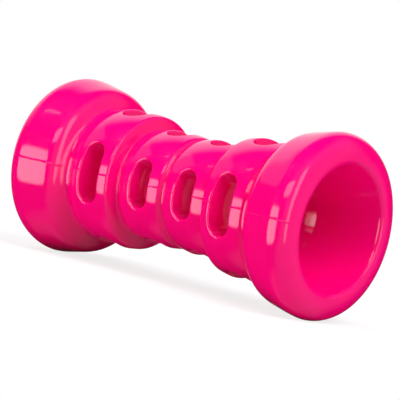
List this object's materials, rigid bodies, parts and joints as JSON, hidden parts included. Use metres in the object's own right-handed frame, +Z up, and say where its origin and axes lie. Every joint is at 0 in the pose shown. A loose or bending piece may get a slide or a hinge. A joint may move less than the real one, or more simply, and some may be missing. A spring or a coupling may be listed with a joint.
{
  "type": "chew toy",
  "caption": "Hollow ringed chew toy in soft rubber: flared open bells on a waist of slotted rings, with necks that bend between the rings.",
  "frame": {"origin": "on the floor under the middle of the toy, straight below its axis, as it lies on its two bells", "axes": "+X along the toy's axis towards the right bell, +Z up through the top slots"},
  "size_m": [0.15, 0.0746, 0.0746],
  "materials": {
    "pink_rubber": "glossy moulded"
  },
  "bodies": {
    "left_bell": {"left_bell": "pink_rubber", "left_bell_neck": "pink_rubber"},
    "left_outer_ring": {"left_outer_ring": "pink_rubber", "left_ring_neck": "pink_rubber"},
    "left_inner_ring": {"left_inner_ring": "pink_rubber", "waist_neck": "pink_rubber"},
    "right_inner_ring": {"right_inner_ring": "pink_rubber"},
    "right_outer_ring": {"right_outer_ring": "pink_rubber", "right_ring_neck": "pink_rubber"},
    "right_bell": {"right_bell": "pink_rubber", "right_bell_neck": "pink_rubber"}
  },
  "joints": [
    {"name": "left_bell_bend", "type": "hinge", "parent": "left_outer_ring", "child": "left_bell", "pos_m": [-0.0472, 0, 0.0373], "axis": [0, 0, -1], "range_deg": [-4, 4], "stiffness_Nm_per_rad": 8, "deforming": ["left_bell_neck"]},
    {"name": "left_ring_bend", "type": "hinge", "parent": "left_inner_ring", "child": "left_outer_ring", "pos_m": [-0.0237, 0, 0.0373], "axis": [0, 0, -1], "range_deg": [-4, 4], "stiffness_Nm_per_rad": 8, "deforming": ["left_ring_neck"]},
    {"name": "waist_bend", "type": "hinge", "parent": "left_inner_ring", "child": "right_inner_ring", "pos_m": [0, 0, 0.0373], "axis": [0, 0, 1], "range_deg": [-4, 4], "stiffness_Nm_per_rad": 8, "deforming": ["waist_neck"]},
    {"name": "right_ring_bend", "type": "hinge", "parent": "right_inner_ring", "child": "right_outer_ring", "pos_m": [0.0237, 0, 0.0373], "axis": [0, 0, 1], "range_deg": [-4, 4], "stiffness_Nm_per_rad": 8, "deforming": ["right_ring_neck"]},
    {"name": "right_bell_bend", "type": "hinge", "parent": "right_outer_ring", "child": "right_bell", "pos_m": [0.0472, 0, 0.0373], "axis": [0, 0, 1], "range_deg": [-4, 4], "stiffness_Nm_per_rad": 8, "deforming": ["right_bell_neck"]}
  ]
}
